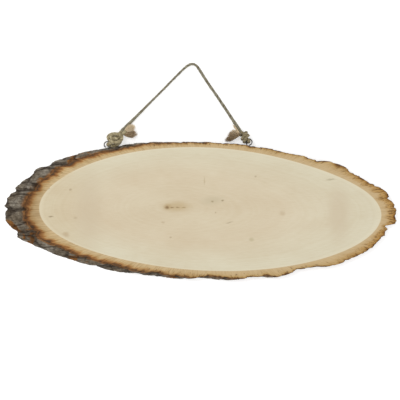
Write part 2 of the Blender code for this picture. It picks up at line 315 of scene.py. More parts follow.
def bark_surface(angles, radius, share):
    """Bark relief at places given by the angle, the radius and the share of the thickness: its height, how
    deep in a furrow the place is, and how far the grey outside has flaked off it.  Cracked plates longer
    along the branch than round it, ridges that run with the branch, and finer grit on both; at the ends of
    the oval, where the slant draws the relief out, it is lower."""
    around = angles / (2 * np.pi) * BRANCH_ROUND
    along = (radius * np.cos(angles) / np.tan(CUT_ANGLE) + share * THICKNESS / np.sin(CUT_ANGLE)) / MM
    sway = 2.2 * lattice_noise(around / 11.0, along / 16.0, 3, 40)
    big = cracked_plates((around + sway) / 13.75, along / 36.0, 5, 32)
    small = cracked_plates((around + sway) / 5.5, along / 12.0, 7, 80)
    ridge = lattice_noise((around + 0.5 * sway) / 2.75, along / 11.0, 11, 160)
    grit = lattice_noise(around / 1.1, along / 2.6, 13, 400)
    grit = grit + 0.6 * lattice_noise(around / 1.76, along / 1.4, 17, 250)
    long_furrow = named_furrows(angles)
    furrow = 1.0 - smooth_step(0.02, 0.20, big)
    crack = 1.0 - smooth_step(0.0, 0.16, small)
    flake = smooth_step(0.62, 0.8, lattice_noise(around / 11.0, along / 14.0, 19, 40)
                        + 0.35 * lattice_noise(around / 2.2, along / 3.0, 23, 200))
    torn = np.exp(-((np.degrees(angles) - TORN_ANGLE) / 5.0) ** 2) * (1.0 - smooth_step(0.3, 0.55, share))
    flake = np.maximum(flake, smooth_step(0.25, 0.6, torn + 0.15 * ridge))
    height = 0.1 - 0.8 * furrow - 0.3 * long_furrow - 0.4 * crack + 0.35 * ridge + 0.12 * grit - 0.5 * flake
    depth = np.clip(0.8 * np.maximum(furrow, long_furrow) + 0.5 * crack - 0.25 * ridge - 0.1 * grit, 0.0, 1.0)
    return height / drawn_out(angles) * MM, depth, flake


def slice_place(angles, radius, share):
    """Places on the slice: the branch's section, stretched along X, and leaning with the branch."""
    x = radius * np.cos(angles) * STRETCH + (share - 0.5) * THICKNESS * LEAN
    y = radius * np.sin(angles) + (share - 1.0) * THICKNESS * SIDE_LEAN
    return np.stack(np.broadcast_arrays(x, y, share * THICKNESS), axis=-1)


def slice_mesh():
    """The slice as one skin of closed rows: out from the pith over the front face, down the bark, and back
    in to the pith over the back face."""
    angles = branch_angles()[None, :]
    turns = (np.arange(COLUMNS) / COLUMNS * 2 * np.pi)[None, :]
    wood = wood_radius(angles)
    bark = bark_radius(angles)
    shares, prouds = zip(*BARK_PROUD)

    share = SIDE_ROWS[:, None]
    side_base = bark + np.interp(share, shares, prouds)
    height, depth, flake = bark_surface(angles, side_base, share)
    side_radius = side_base + height
    side = slice_place(angles, side_radius, share)

    chips = 0.4 + 0.3 * lattice_noise(turns / (2 * np.pi) * 420, turns * 0, 29, 420)
    front_rim = side_radius[:1] - chips / drawn_out(angles) * MM
    back_rim = side_radius[-1:] - BACK_CHIPS / drawn_out(angles) * MM
    pith_shift = np.array((THICKNESS * LEAN, THICKNESS * SIDE_LEAN))

    def face(bands, rim, share_now, pith):
        """Rows on a sawn face: from the pith to the wood's edge as the band goes from 0 to 1, and on through
        the bark to the rim as it goes from 1 to 2."""
        band = np.asarray(bands)[:, None]
        edge = slice_place(angles, wood, np.full_like(wood, share_now))
        outer = slice_place(angles, rim, np.full_like(wood, share_now))
        centre = np.array((*pith, share_now * THICKNESS))
        inside = centre + (edge - centre) * np.clip(band, 0.0, 1.0)[..., None]
        return inside + (outer - edge) * np.clip(band - 1.0, 0.0, 1.0)[..., None]

    front = face(np.concatenate((WOOD_ROWS, INNER_BARK_ROWS)), front_rim, 1.0, PITH)
    band_front = np.concatenate((WOOD_ROWS, INNER_BARK_ROWS))[:, None]
    grooves = lattice_noise(turns / (2 * np.pi) * 620, band_front * 3.0, 31, 620)
    grooves = grooves + 0.6 * lattice_noise(turns / (2 * np.pi) * 300, band_front * 6.0, 37, 300)
    in_bark = smooth_step(1.0, 1.08, band_front)
    front[..., 2] -= in_bark * (0.10 + 0.10 * grooves) * MM
    front[..., 2] -= smooth_step(1.72, 2.0, band_front) * (0.28 + 0.22 * grooves) * MM
    back = face(np.concatenate((BACK_BARK_ROWS, WOOD_ROWS[::-1])), back_rim, 0.0, PITH - pith_shift)

    rows = np.concatenate((front, side, back))
    ones = np.ones((1, COLUMNS))
    band = np.concatenate((band_front * ones, np.full(side.shape[:2], 2.0),
                           np.concatenate((BACK_BARK_ROWS, WOOD_ROWS[::-1]))[:, None] * ones))
    level = np.concatenate((band_front * 0 + ones, share * ones, np.zeros(back.shape[:2])))
    zeros_front, zeros_back = np.zeros(front.shape[:2]), np.zeros(back.shape[:2])
    hollow = np.concatenate((zeros_front, depth, zeros_back))
    flaked = np.concatenate((zeros_front, flake, zeros_back))
    rim_radius = RIM_ROUND / (2 * np.pi)
    out = RIM_ACROSS * band
    rim_place = np.stack((rim_radius * np.cos(turns) * np.ones_like(out),
                          rim_radius * np.sin(turns) * np.ones_like(out), out), axis=-1)
    poles = np.array((*PITH, THICKNESS)), np.array((*(PITH - pith_shift), 0.0))
    mesh = closed_grid("wood_slice", rows, *poles, attributes={
        "band": (band, 0.0, 0.0), "level": (level, 1.0, 0.0), "hollow": (hollow, 0.0, 0.0),
        "flaked": (flaked, 0.0, 0.0), "rim_place": (rim_place, 0.0, 0.0)})
    face_rows = len(band_front)
    material_rows = np.zeros(len(rows) - 1, dtype=np.int32)
    material_rows[face_rows - 1:face_rows + len(SIDE_ROWS)] = 1
    indices = np.zeros(len(mesh.polygons), dtype=np.int32)
    indices[:len(material_rows) * COLUMNS] = np.repeat(material_rows, COLUMNS)
    return mesh, indices


# ---------------------------------------------------------------- slice: materials

# Marks on the sanded face: x, y, half length, half width in mm, turn in degrees, colour, strength.
FACE_MARKS = (
    (-24.3, 3.8, 17.0, 6.5, 0.0, "#c2ab82", 0.75), (-33.5, 3.4, 5.0, 3.6, 0.0, "#b3976a", 0.55),
    (-34.1, 2.8, 2.3, 1.7, 0.0, "#7c5f3c", 0.75), (-28.8, 2.8, 2.2, 0.9, 4.0, "#86683f", 0.75),
    (-23.0, 2.9, 2.6, 0.8, -3.0, "#8d7049", 0.65), (-17.0, 2.8, 2.8, 0.7, 2.0, "#967a50", 0.6),
    (-133.5, 21.3, 1.9, 1.5, 0.0, "#a08a68", 0.55), (-153.6, -6.5, 3.2, 0.9, 4.0, "#8a7758", 0.7),
    (-128.4, -8.0, 2.2, 1.5, 0.0, "#ae9977", 0.45), (-138.2, -25.0, 4.2, 3.0, -15.0, "#b89f7b", 0.55),
    (-38.2, -12.7, 2.6, 1.3, 0.0, "#b59f7c", 0.45), (-30.5, -28.1, 1.5, 1.2, 0.0, "#a58f6c", 0.5),
    (4.5, 30.0, 0.9, 5.0, 0.0, "#b5a27d", 0.5), (57.0, 34.7, 1.5, 1.2, 0.0, "#a08c68", 0.5),
    (12.2, 10.0, 14.5, 5.4, 6.0, "#c4b799", 0.5), (23.0, 10.0, 1.6, 1.2, 0.0, "#8e7a58", 0.65),
    (12.7, 9.0, 1.5, 1.1, 0.0, "#937f5d", 0.6), (15.8, -2.4, 1.3, 1.0, 0.0, "#a08d69", 0.5),
    (30.2, -12.7, 4.6, 0.8, 14.0, "#9d8a68", 0.5), (84.8, -3.4, 4.0, 3.0, 0.0, "#bda787", 0.4),
    (52.9, -30.2, 3.4, 2.4, 0.0, "#b1a57c", 0.45), (134.2, 31.6, 5.6, 1.1, 6.0, "#a79c7d", 0.6),
    (-141.4, 35.8, 17.0, 3.4, 31.0, "#c9b282", 0.95), (-154.8, 24.4, 2.4, 1.4, 40.0, "#f0e4c8", 0.8),
    (-156.0, 22.6, 1.5, 1.2, 0.0, "#6f4f2c", 0.95),
    (-115.0, 2.0, 17.0, 42.0, 0.0, "#cdbda1", 0.55), (143.0, -4.0, 14.0, 34.0, 0.0, "#cdbca0", 0.55),
)

WOOD_RINGS = 44


def cut_face_material():
    """Lime sawn on the slant and sanded, with the cut bark round it: matt pale cream wood, rings so faint
    that only broad bands show, short fibre streaks, a brown pith, and tan bark with radial fibres that
    darkens to rust and brown at its edge."""
    m = new_material("sanded_lime_wood_and_cut_bark")
    where = node(m, "TexCoord")
    by_place = {"Vector": (where, "Object")}
    band = node(m, "Attribute", {"attribute_name": "band"})
    rim = node(m, "Attribute", {"attribute_name": "rim_place"})
    by_rim = {"Vector": (rim, "Vector")}
    axes = node(m, "SeparateXYZ", links=by_place)

    # Broad clouds 70 mm long across the sanded wood.
    stretched = node(m, "Mapping", values={"Scale": (1 / (70 * MM), 1 / (26 * MM), 1.0)},
                     links=by_place)
    clouds = node(m, "TexNoise", values={"Scale": 1.0, "Detail": 3.0},
                  links={"Vector": (stretched, "Vector")})
    wood = node(m, "ValToRGB", links={"Fac": (clouds, "Fac")}, stops=((0.32, "#d9cfb6"), (0.68, "#dfd8c1")))

    # The paler wood under the bark, and the greyer middle.
    by_band = node(m, "ValToRGB", links={"Fac": (band, "Fac")},
                   stops=((0.0, "#faf3ec"), (0.55, "#fcf5ef"), (0.9, "#fffffd")))
    wood = node(m, "Mix", TINT, {0: 1.0},
                {FIRST: (wood, "Color"), SECOND: (by_band, "Color")})

    # Growth rings about 1.4 mm apart, read from the share of the way from pith to bark.
    wander = node(m, "TexNoise", values={"Scale": 1 / (22 * MM), "Detail": 2.0}, links=by_place)
    ring_number = node(m, "Math", TIMES, {1: float(WOOD_RINGS)}, {0: (band, "Fac")})
    ring_place = node(m, "Math", TIMES_PLUS, {1: 2.2}, {0: (wander, "Fac"), 2: (ring_number, "Value")})
    rings = node(m, "TexNoise", {"noise_dimensions": '1D'}, {"Scale": 0.9, "Detail": 3.0},
                 {"W": (ring_place, "Value")})
    ring_tint = node(m, "ValToRGB", links={"Fac": (rings, "Fac")},
                     stops=((0.35, "#efe8da"), (0.62, "#ffffff")))
    wood = node(m, "Mix", TINT, {0: 0.13},
                {FIRST: (wood, MIXED), SECOND: (ring_tint, "Color")})

    # Cut fibres: streaks 9 mm long and 0.6 mm wide that run with the slant.
    streaked = node(m, "Mapping", values={"Scale": (1 / (9 * MM), 1 / (0.6 * MM), 1.0)},
                    links=by_place)
    streaks = node(m, "TexNoise", values={"Scale": 1.0, "Detail": 2.0},
                   links={"Vector": (streaked, "Vector")})
    streak_tint = node(m, "ValToRGB", links={"Fac": (streaks, "Fac")},
                       stops=((0.3, "#f1ebdf"), (0.6, "#ffffff")))
    wood = node(m, "Mix", TINT, {0: 0.35},
                {FIRST: (wood, MIXED), SECOND: (streak_tint, "Color")})

    # The end where the bark shows has yellowed more.
    yellowed = node(m, "MapRange", SMOOTH,
                    {"From Min": -95 * MM, "From Max": -150 * MM}, {"Value": (axes, "X")})
    wood = node(m, "Mix", TINT, {SECOND: linear("#f7f0e8")},
                {0: (yellowed, "Result"), FIRST: (wood, MIXED)})

    # Each mark is a soft-edged oval, its edge pushed about 1 mm by noise.
    push = node(m, "TexNoise", values={"Scale": 1 / (3 * MM), "Detail": 2.0}, links=by_place)
    pushed = node(m, "VectorMath", TIMES_PLUS, {1: (2.2 * MM, 1.4 * MM, 0.0)},
                  {0: (push, "Color"), 2: (where, "Object")})
    for x, y, half_length, half_width, turn, colour, strength in FACE_MARKS:
        oval = node(m, "Mapping", {"vector_type": 'TEXTURE'},
                    {"Location": ((x + 1.1) * MM, (y + 0.7) * MM, THICKNESS),
                     "Rotation": (0.0, 0.0, np.radians(turn)),
                     "Scale": (half_length * MM, half_width * MM, 2 * MM)}, {"Vector": (pushed, "Vector")})
        away = node(m, "VectorMath", {"operation": 'LENGTH'}, links={0: (oval, "Vector")})
        amount = node(m, "MapRange", SMOOTH,
                      {"From Min": 1.25, "From Max": 0.2, "To Max": strength}, {"Value": (away, "Value")})
        wood = node(m, "Mix", MIX_COLOUR, {SECOND: linear(colour)},
                    {0: (amount, "Result"), FIRST: (wood, MIXED)})

    # Radial fibres in the cut bark: 0.9 mm round the rim and 7 mm across the bark.
    drawn = node(m, "Mapping", values={"Scale": (1 / 0.9, 1 / 0.9, 1 / 7.0)}, links=by_rim)
    fibres = node(m, "TexNoise", values={"Scale": 1.0, "Detail": 3.0}, links={"Vector": (drawn, "Vector")})
    patches = node(m, "TexNoise", values={"Scale": 1 / 6.5, "Detail": 4.0, "Roughness": 0.6},
                   links=by_rim)
    uneven = node(m, "Math", TIMES_PLUS, {1: 1.05}, {0: (patches, "Fac"), 2: (band, "Fac")})
    outward = node(m, "Math", TIMES_PLUS, {1: 0.22}, {0: (fibres, "Fac"), 2: (uneven, "Value")})
    share = node(m, "MapRange", values={"From Min": 1.62, "From Max": 2.66},
                 links={"Value": (outward, "Value")})
    rusty = node(m, "ValToRGB", links={"Fac": (share, "Result")}, stops=(
        (0.0, "#d2ba91"), (0.38, "#cdb386"), (0.55, "#c4a371"), (0.66, "#b38550"), (0.78, "#96673a"),
        (0.90, "#6a492b"), (1.0, "#544537")))
    tan = node(m, "ValToRGB", links={"Fac": (share, "Result")}, stops=(
        (0.0, "#cdb48b"), (0.45, "#caaf83"), (0.72, "#c3a675"), (0.86, "#b28f58"), (0.95, "#8d6838"),
        (1.0, "#66482a")))
    from_left = node(m, "MapRange", SMOOTH,
                     {"From Min": -110 * MM, "From Max": 30 * MM}, {"Value": (axes, "X")})
    bark = node(m, "Mix", MIX_COLOUR, links={
        0: (from_left, "Result"), FIRST: (rusty, "Color"), SECOND: (tan, "Color")})
    fibre_tint = node(m, "ValToRGB", links={"Fac": (fibres, "Fac")},
                      stops=((0.34, "#c6b69c"), (0.56, "#ffffff")))
    # The cut bark is darker towards the end where the bark shows.
    darker_at_left_end = node(m, "MapRange", SMOOTH,
                   {"From Min": -150 * MM, "From Max": -176 * MM}, {"Value": (axes, "X")})
    bark = node(m, "Mix", TINT, {SECOND: linear("#dfdad6")},
                {0: (darker_at_left_end, "Result"), FIRST: (bark, MIXED)})
    fibre_amount = node(m, "MapRange", values={"To Min": 0.7, "To Max": 0.28},
                        links={"Value": (from_left, "Result")})
    bark = node(m, "Mix", TINT, links={
        0: (fibre_amount, "Result"), FIRST: (bark, MIXED), SECOND: (fibre_tint, "Color")})

    # The far end's outer bark is redder, with pits about 2 mm apart.
    far_end = node(m, "MapRange", SMOOTH,
                   {"From Min": 120 * MM, "From Max": 185 * MM}, {"Value": (axes, "X")})
    outside = node(m, "MapRange", SMOOTH,
                   {"From Min": 1.86, "From Max": 2.26}, {"Value": (outward, "Value")})
    redder = node(m, "Math", TIMES, links={0: (far_end, "Result"), 1: (outside, "Result")})
    bark = node(m, "Mix", TINT, {SECOND: linear("#f4e4c6")},
                {0: (redder, "Value"), FIRST: (bark, MIXED)})
    pitted = node(m, "Mapping", values={"Scale": (1 / 2.2, 1 / 2.2, 1 / 1.6)}, links=by_rim)
    pits = node(m, "TexNoise", values={"Scale": 1.0, "Detail": 3.0, "Distortion": 1.4},
                links={"Vector": (pitted, "Vector")})
    pit = node(m, "MapRange", SMOOTH,
               {"From Min": 0.52, "From Max": 0.6, "To Max": 0.75}, {"Value": (pits, "Fac")})
    pit_amount = node(m, "Math", TIMES, links={0: (pit, "Result"), 1: (redder, "Value")})
    bark = node(m, "Mix", MIX_COLOUR, {SECOND: linear("#6b4a24")},
                {0: (pit_amount, "Value"), FIRST: (bark, MIXED)})

    # Short dark strokes, 1.5 mm wide and 3.4 mm long, across the outer half of the cut bark.
    stroked = node(m, "Mapping", values={"Scale": (1 / 1.5, 1 / 1.5, 1 / 3.4)}, links=by_rim)
    strokes = node(m, "TexNoise", values={"Scale": 1.0, "Detail": 2.0},
                   links={"Vector": (stroked, "Vector")})
    thin = node(m, "MapRange", SMOOTH,
                {"From Min": 0.60, "From Max": 0.68, "To Max": 0.75}, {"Value": (strokes, "Fac")})
    outer = node(m, "MapRange", SMOOTH,
                 {"From Min": 1.91, "From Max": 2.31}, {"Value": (outward, "Value")})
    crack_amount = node(m, "Math", TIMES, links={0: (thin, "Result"), 1: (outer, "Result")})
    bark = node(m, "Mix", MIX_COLOUR, {SECOND: linear("#5a3a20")},
                {0: (crack_amount, "Value"), FIRST: (bark, MIXED)})

    in_bark = node(m, "MapRange", SMOOTH,
                   {"From Min": 0.995, "From Max": 1.03}, {"Value": (band, "Fac")})
    colour = node(m, "Mix", MIX_COLOUR, links={
        0: (in_bark, "Result"), FIRST: (wood, MIXED), SECOND: (bark, MIXED)})
    # A thin pale line of young wood where wood and bark meet.
    half_band = node(m, "Math", TIMES, {1: 0.5}, {0: (band, "Fac")})
    young = node(m, "ValToRGB", links={"Fac": (half_band, "Value")}, stops=(
        (0.485, "#000000"), (0.497, "#a0a0a0"), (0.504, "#a0a0a0"), (0.53, "#000000")))
    colour = node(m, "Mix", MIX_COLOUR, {SECOND: linear("#e6dcc0")},
                  {0: (young, "Color"), FIRST: (colour, MIXED)})
    roughness = node(m, "MapRange", values={"To Min": 0.62, "To Max": 0.88},
                     links={"Value": (in_bark, "Result")})
    grain = node(m, "Mix", {"data_type": 'FLOAT'}, links={
        0: (in_bark, "Result"), 2: (streaks, "Fac"), 3: (fibres, "Fac")})
    depth = node(m, "MapRange", values={"To Min": 0.06, "To Max": 0.5},
                 links={"Value": (in_bark, "Result")})
    bump = node(m, "Bump", values={"Distance": 0.4 * MM},
                links={"Height": (grain, 0), "Strength": (depth, "Result")})
    shader = node(m, "BsdfPrincipled", values={"IOR": 1.45, "Specular IOR Level": 0.3}, links={
        "Base Color": (colour, MIXED), "Roughness": (roughness, "Result"), "Normal": (bump, "Normal")})
    node(m, "OutputMaterial", links={"Surface": (shader, "BSDF")})
    return m


def bark_material():
    """Weathered lime bark, grown and dried: dull grey plates with paler lichen dust, painted shade that
    darkens the furrows between them, and rusty inner layers where flakes have come off."""
    m = new_material("weathered_lime_bark")
    where = node(m, "TexCoord")
    by_place = {"Vector": (where, "Object")}
    hollow = node(m, "Attribute", {"attribute_name": "hollow"})
    flaked = node(m, "Attribute", {"attribute_name": "flaked"})
    level = node(m, "Attribute", {"attribute_name": "level"})
    axes = node(m, "SeparateXYZ", links=by_place)

    # Grey plates, mottled every 3 mm and every 12 mm.
    mottle = node(m, "TexNoise", values={"Scale": 1 / (3.2 * MM), "Detail": 5.0, "Roughness": 0.65},
                  links=by_place)
    grey = node(m, "ValToRGB", links={"Fac": (mottle, "Fac")}, stops=(
        (0.25, "#5b5349"), (0.45, "#7d7569"), (0.6, "#958d80"), (0.78, "#b6b0a3")))
    broad = node(m, "TexNoise", values={"Scale": 1 / (12 * MM), "Detail": 2.0}, links=by_place)
    broad_tint = node(m, "ValToRGB", links={"Fac": (broad, "Fac")},
                      stops=((0.35, "#cfc4b4"), (0.6, "#ffffff")))
    colour = node(m, "Mix", TINT, {0: 0.8},
                  {FIRST: (grey, "Color"), SECOND: (broad_tint, "Color")})

    # Long dark lines that run with the branch, 1 mm wide and 12 mm long.
    drawn = node(m, "Mapping", values={"Scale": (1 / (12 * MM), 1 / (1.1 * MM), 1 / (4 * MM))},
                 links=by_place)
    lines = node(m, "TexNoise", values={"Scale": 1.0, "Detail": 3.0}, links={"Vector": (drawn, "Vector")})
    line_tint = node(m, "ValToRGB", links={"Fac": (lines, "Fac")},
                     stops=((0.36, "#8b7f70"), (0.52, "#ffffff")))
    colour = node(m, "Mix", TINT, {0: 0.7},
                  {FIRST: (colour, MIXED), SECOND: (line_tint, "Color")})

    # Rusty inner layers show where the grey has flaked off, and along the sawn front edge.
    rust = node(m, "ValToRGB", links={"Fac": (mottle, "Fac")}, stops=(
        (0.3, "#54351c"), (0.5, "#7c5127"), (0.7, "#996b38")))
    ragged = node(m, "Math", TIMES_PLUS, {1: 0.22}, {0: (broad, "Fac"), 2: (level, "Fac")})
    edge = node(m, "MapRange", SMOOTH, {"From Min": 0.94, "From Max": 1.08, "To Max": 0.9},
                {"Value": (ragged, "Value")})
    bare = node(m, "Math", {"operation": 'MAXIMUM'}, links={0: (flaked, "Fac"), 1: (edge, "Result")})
    colour = node(m, "Mix", MIX_COLOUR, links={
        0: (bare, "Value"), FIRST: (colour, MIXED), SECOND: (rust, "Color")})

    # The bark at the far end is younger: browner, with less grey on it.
    young = node(m, "MapRange", SMOOTH,
                 {"From Min": -60 * MM, "From Max": 60 * MM, "To Max": 0.6}, {"Value": (axes, "X")})
    brown = node(m, "ValToRGB", links={"Fac": (mottle, "Fac")}, stops=(
        (0.3, "#3d2a1b"), (0.5, "#66492e"), (0.72, "#8d7050")))
    colour = node(m, "Mix", MIX_COLOUR, links={
        0: (young, "Result"), FIRST: (colour, MIXED), SECOND: (brown, "Color")})
    # Painted shade: furrows and cracks are darkened towards near black, the deeper the darker.
    shaded = node(m, "Math", TIMES, {1: 0.85}, {0: (hollow, "Fac")})
    colour = node(m, "Mix", MIX_COLOUR, {SECOND: linear("#241a12")},
                  {0: (shaded, "Value"), FIRST: (colour, MIXED)})

    bump = node(m, "Bump", values={"Distance": 0.7 * MM, "Strength": 0.7},
                links={"Height": (mottle, "Fac")})
    shader = node(m, "BsdfPrincipled", values={"Roughness": 0.92, "IOR": 1.4, "Specular IOR Level": 0.2},
                  links={"Base Color": (colour, MIXED), "Normal": (bump, "Normal")})
    node(m, "OutputMaterial", links={"Surface": (shader, "BSDF")})
    return m


# ---------------------------------------------------------------- jute: shape

LAY_LENGTH = 7.5 * MM
ROPE_SIDES = 18
ROPE_ROWS = 520
KNOT_ROWS = 260
KNOT_LAY = 8.5 * MM
# Heights over the floor: a tied strand, before its swellings, and the loose fibres stay under these.
TIED_TOP = 9.9 * MM
FIBRE_TOP = 9.95 * MM
# The short hairs start at 0.8 of these radii, on the rope and on each knot's strand.
HAIR_ROOTS = {"rope": 1.25 * MM, "left": 1.5 * MM, "right": 1.35 * MM}
SWELLING_LOW, SWELLING_HIGH = 0.90, 1.10
SWELLING_APART = 2.6 * MM


def settle(path, radius, fixed, rounds=90):
    """Ease a tied strand: places nearer than 1.7 of its radii, but not neighbours along it, push off each
    other; then each place moves a little towards the middle of its neighbours, and stays off the floor."""
    path = path.copy()
    step = np.linalg.norm(np.diff(path, axis=0), axis=1).mean()
    count = len(path)
    index = np.arange(count)
    apart = np.abs(index[:, None] - index[None, :]) > int(2.6 * radius / step)
    loose = np.ones(count)
    loose[:fixed] = 0.0
    for _ in range(rounds):
        offset = path[:, None, :] - path[None, :, :]
        distance = np.linalg.norm(offset, axis=2) + 1e-9
        overlap = np.clip(1.7 * radius - distance, 0.0, None) * apart
        push = (offset / distance[..., None] * overlap[..., None]).sum(axis=1)
        path += 0.16 * push * loose[:, None]
        middle = np.zeros_like(path)
        middle[1:-1] = (path[:-2] + path[2:]) / 2 - path[1:-1]
        path += 0.25 * middle * loose[:, None]
        path[:, 2] = np.clip(path[:, 2], radius + 0.15 * MM, TIED_TOP - radius)
    return path


def twine_mesh(name, path, radius, seed, lay=LAY_LENGTH):
    """Twine carried along a path.  Its section is three equal lobes: radius times 0.8 + 0.2 |cos(3/2 angle)|
    to the power 0.7, turned once in each lay length, with seeded swellings a few millimetres long."""
    _, side, top = carried_frames(path)
    travelled = way_travelled(path)
    around = np.arange(ROPE_SIDES) / ROPE_SIDES * 2 * np.pi
    swells = np.arange(0, travelled[-1] + 8 * MM, SWELLING_APART)
    sizes = np.random.default_rng(seed).uniform(SWELLING_LOW, SWELLING_HIGH, len(swells))
    swelling = np.interp(travelled, swells, sizes)
    twist = travelled / lay * 2 * np.pi
    lobes = 0.80 + 0.20 * np.abs(np.cos(1.5 * (around[None, :] - twist[:, None]))) ** 0.7
    reach = (np.asarray(radius) * swelling)[:, None] * lobes
    rings = rings_round(path, side, top, around, reach)
    turned = around[None, :] - twist[:, None]
    flat_radius = 1.1
    strand = np.stack((flat_radius * np.cos(turned), flat_radius * np.sin(turned),
                       np.broadcast_to(travelled[:, None] / MM, turned.shape)), axis=-1)
    groove = np.broadcast_to(1.0 - np.abs(np.cos(1.5 * turned)) ** 0.7, turned.shape)
    return closed_grid(name, rings[:, ::-1], path[0], path[-1], attributes={
        "strand_place": (strand[:, ::-1], 0.0, 0.0), "groove": (groove[:, ::-1], 0.0, 0.0)})


def fibres_mesh(name, roots, ways, lengths, sag, thickness, tint, seed, wave=0.05):
    """Loose fibres, each a three-sided spike: at the share t of its length it stands at root + way t length
    + sag t^2, waved by two slow sines, and its radius is thickness (1 - 0.75 t)."""
    random = np.random.default_rng(seed)
    count, rings = len(roots), 6
    t = np.linspace(0.0, 1.0, rings)[None, :, None]
    ways = unit(ways)
    across = unit(np.cross(ways, unit(random.normal(size=(count, 3)))))
    third = np.cross(ways, across)
    phase = random.uniform(0, 2 * np.pi, (2, count, 1, 1))
    size = lengths[:, None, None] * wave
    middle = (roots[:, None, :] + ways[:, None, :] * t * lengths[:, None, None] + sag[:, None, :] * t ** 2
              + across[:, None, :] * size * t * np.sin(4.2 * t + phase[0])
              + third[:, None, :] * size * t * np.sin(5.3 * t + phase[1]))
    turn = np.arange(3) / 3 * 2 * np.pi
    ring = np.cos(turn)[None, :, None] * across[:, None, :] + np.sin(turn)[None, :, None] * third[:, None, :]
    radius = thickness[:, None, None, None] * (1 - 0.75 * t[..., None])
    points = middle[:, :, None, :] + ring[:, None] * radius
    points[..., 2] = np.clip(points[..., 2], 0.02 * MM, FIBRE_TOP)
    grid = np.arange(count * rings * 3).reshape(count, rings, 3)
    after = np.roll(grid, -1, axis=2)
    quads = np.stack((grid[:, :-1], after[:, :-1], after[:, 1:], grid[:, 1:]), axis=-1).reshape(-1, 4)
    ends = np.vstack((grid[:, 0, ::-1], grid[:, -1]))
    mesh = bpy.data.meshes.new(name)
    mesh.from_pydata(points.reshape(-1, 3).tolist(), [], quads.tolist() + ends.tolist())
    for key, values in (("tint", np.broadcast_to(tint[:, None, None], grid.shape)),
                        ("tip", np.broadcast_to(t[..., 0][..., None], grid.shape))):
        layer = mesh.attributes.new(key, 'FLOAT', 'POINT')
        layer.data.foreach_set("value", values.ravel().astype(np.float32))
    mesh.shade_smooth()
    return mesh


def fuzz_mesh(name, paths, seed, spacing=0.55 * MM):
    """Short hairs that stand off strands: seeded places along each path, each leaning forward and out."""
    random = np.random.default_rng(seed)
    roots, ways, lengths = [], [], []
    for path, radius in paths:
        tangent, side, top = carried_frames(path)
        travelled = way_travelled(path)
        count = int(travelled[-1] / spacing)
        spot = random.uniform(0, travelled[-1], count)
        angle = random.uniform(0, 2 * np.pi, count)[:, None]
        here, along, left, up = (np.column_stack([np.interp(spot, travelled, column) for column in field.T])
                                 for field in (path, tangent, side, top))
        out = np.cos(angle) * left + np.sin(angle) * up
        roots.append(here + out * 0.8 * radius)
        ways.append(out * random.uniform(0.3, 1.0, (count, 1)) + along * random.normal(0, 1.0, (count, 1)))
        lengths.append(random.gamma(2.2, 0.75, count) * MM)
    roots, ways = np.vstack(roots), np.vstack(ways)
    lengths = np.clip(np.concatenate(lengths), 0.6 * MM, 4.5 * MM)
    sag = random.normal(0, 0.3, roots.shape) * lengths[:, None]
    thickness = random.uniform(0.035, 0.07, len(roots)) * MM
    tint = random.uniform(0.3, 0.9, len(roots))
    return fibres_mesh(name, roots, ways, lengths, sag, thickness, tint, seed + 1)


# The right knot's strand, given on the diagonal on which the rope comes down to its eye: way along
# the diagonal, way across it, and height, in mm.
RIGHT_KNOT_START = np.array((43.0, 80.0))
DOWN_DIAGONAL = np.array((0.70, -0.714))
ACROSS_DIAGONAL = np.array((0.714, 0.70))
RIGHT_KNOT_MM = (
    (-1.4, 0.0, 4.3), (0.8, 0.5, 4.9), (3.0, 0.6, 5.0), (5.4, 0.2, 5.1), (7.4, -0.2, 6.1),
    (9.2, -0.5, 7.0), (11.0, -0.8, 6.3), (12.1, -1.1, 4.3), (11.2, -1.8, 2.2), (9.6, -3.2, 1.7),
    (8.8, -4.7, 2.6), (8.2, -5.0, 4.8), (7.8, -3.8, 7.2), (7.4, -1.6, 8.3), (6.8, 0.6, 7.9),
    (6.6, 2.0, 5.8), (6.3, 2.1, 3.4), (5.8, 0.6, 1.8), (5.4, -2.0, 1.7), (5.2, -4.0, 2.6),
    (4.8, -4.6, 4.6), (4.4, -3.4, 7.0), (4.0, -1.2, 8.2), (3.6, 1.2, 8.0), (3.2, 2.4, 5.8),
    (2.8, 2.3, 3.4), (2.2, 0.6, 1.8), (1.4, -1.8, 1.9), (0.6, -3.0, 2.8), (-0.4, -2.8, 3.8),
    (-1.9, -2.4, 4.4),
)


def laid_on_diagonal(points):
    """Places in the frame, to 0.1 mm, of points given along and across the right knot's diagonal."""
    along, across, height = np.array(points).T
    flat = RIGHT_KNOT_START + along[:, None] * DOWN_DIAGONAL + across[:, None] * ACROSS_DIAGONAL
    return np.column_stack((np.round(flat, 1), height))


# The tied ends: the strand's route through the eye and round itself.  The left one is listed point by point.
KNOT_ROUTES_MM = {
    "left": (
        (-81.0, 81.7, 4.2), (-83.5, 79.3, 4.8), (-86.0, 76.4, 5.0), (-88.3, 73.6, 5.4), (-90.4, 71.2, 6.3),
        (-93.0, 69.4, 7.1), (-95.3, 68.2, 6.1), (-96.1, 67.7, 4.2), (-95.0, 67.0, 2.1), (-92.4, 66.5, 1.9),
        (-89.4, 66.7, 1.9), (-85.8, 67.6, 2.0), (-82.8, 70.2, 2.0), (-82.2, 73.4, 2.0), (-84.6, 73.6, 2.4),
        (-86.8, 72.0, 2.6), (-89.0, 73.2, 2.2), (-88.8, 76.2, 2.0), (-91.2, 78.4, 2.4), (-94.6, 77.4, 3.8),
        (-95.2, 74.4, 5.4), (-92.8, 71.4, 7.0), (-88.0, 69.8, 8.0), (-83.2, 70.8, 8.0), (-80.0, 74.0, 8.0),
        (-81.4, 77.0, 8.0), (-86.8, 78.6, 8.1), (-92.0, 78.2, 8.1), (-93.2, 75.6, 8.0), (-89.8, 73.4, 7.9),
        (-85.8, 73.8, 7.9), (-82.6, 76.8, 7.2), (-79.8, 79.6, 6.2), (-76.6, 81.4, 4.8),
    ),
    "right": laid_on_diagonal(RIGHT_KNOT_MM),
}
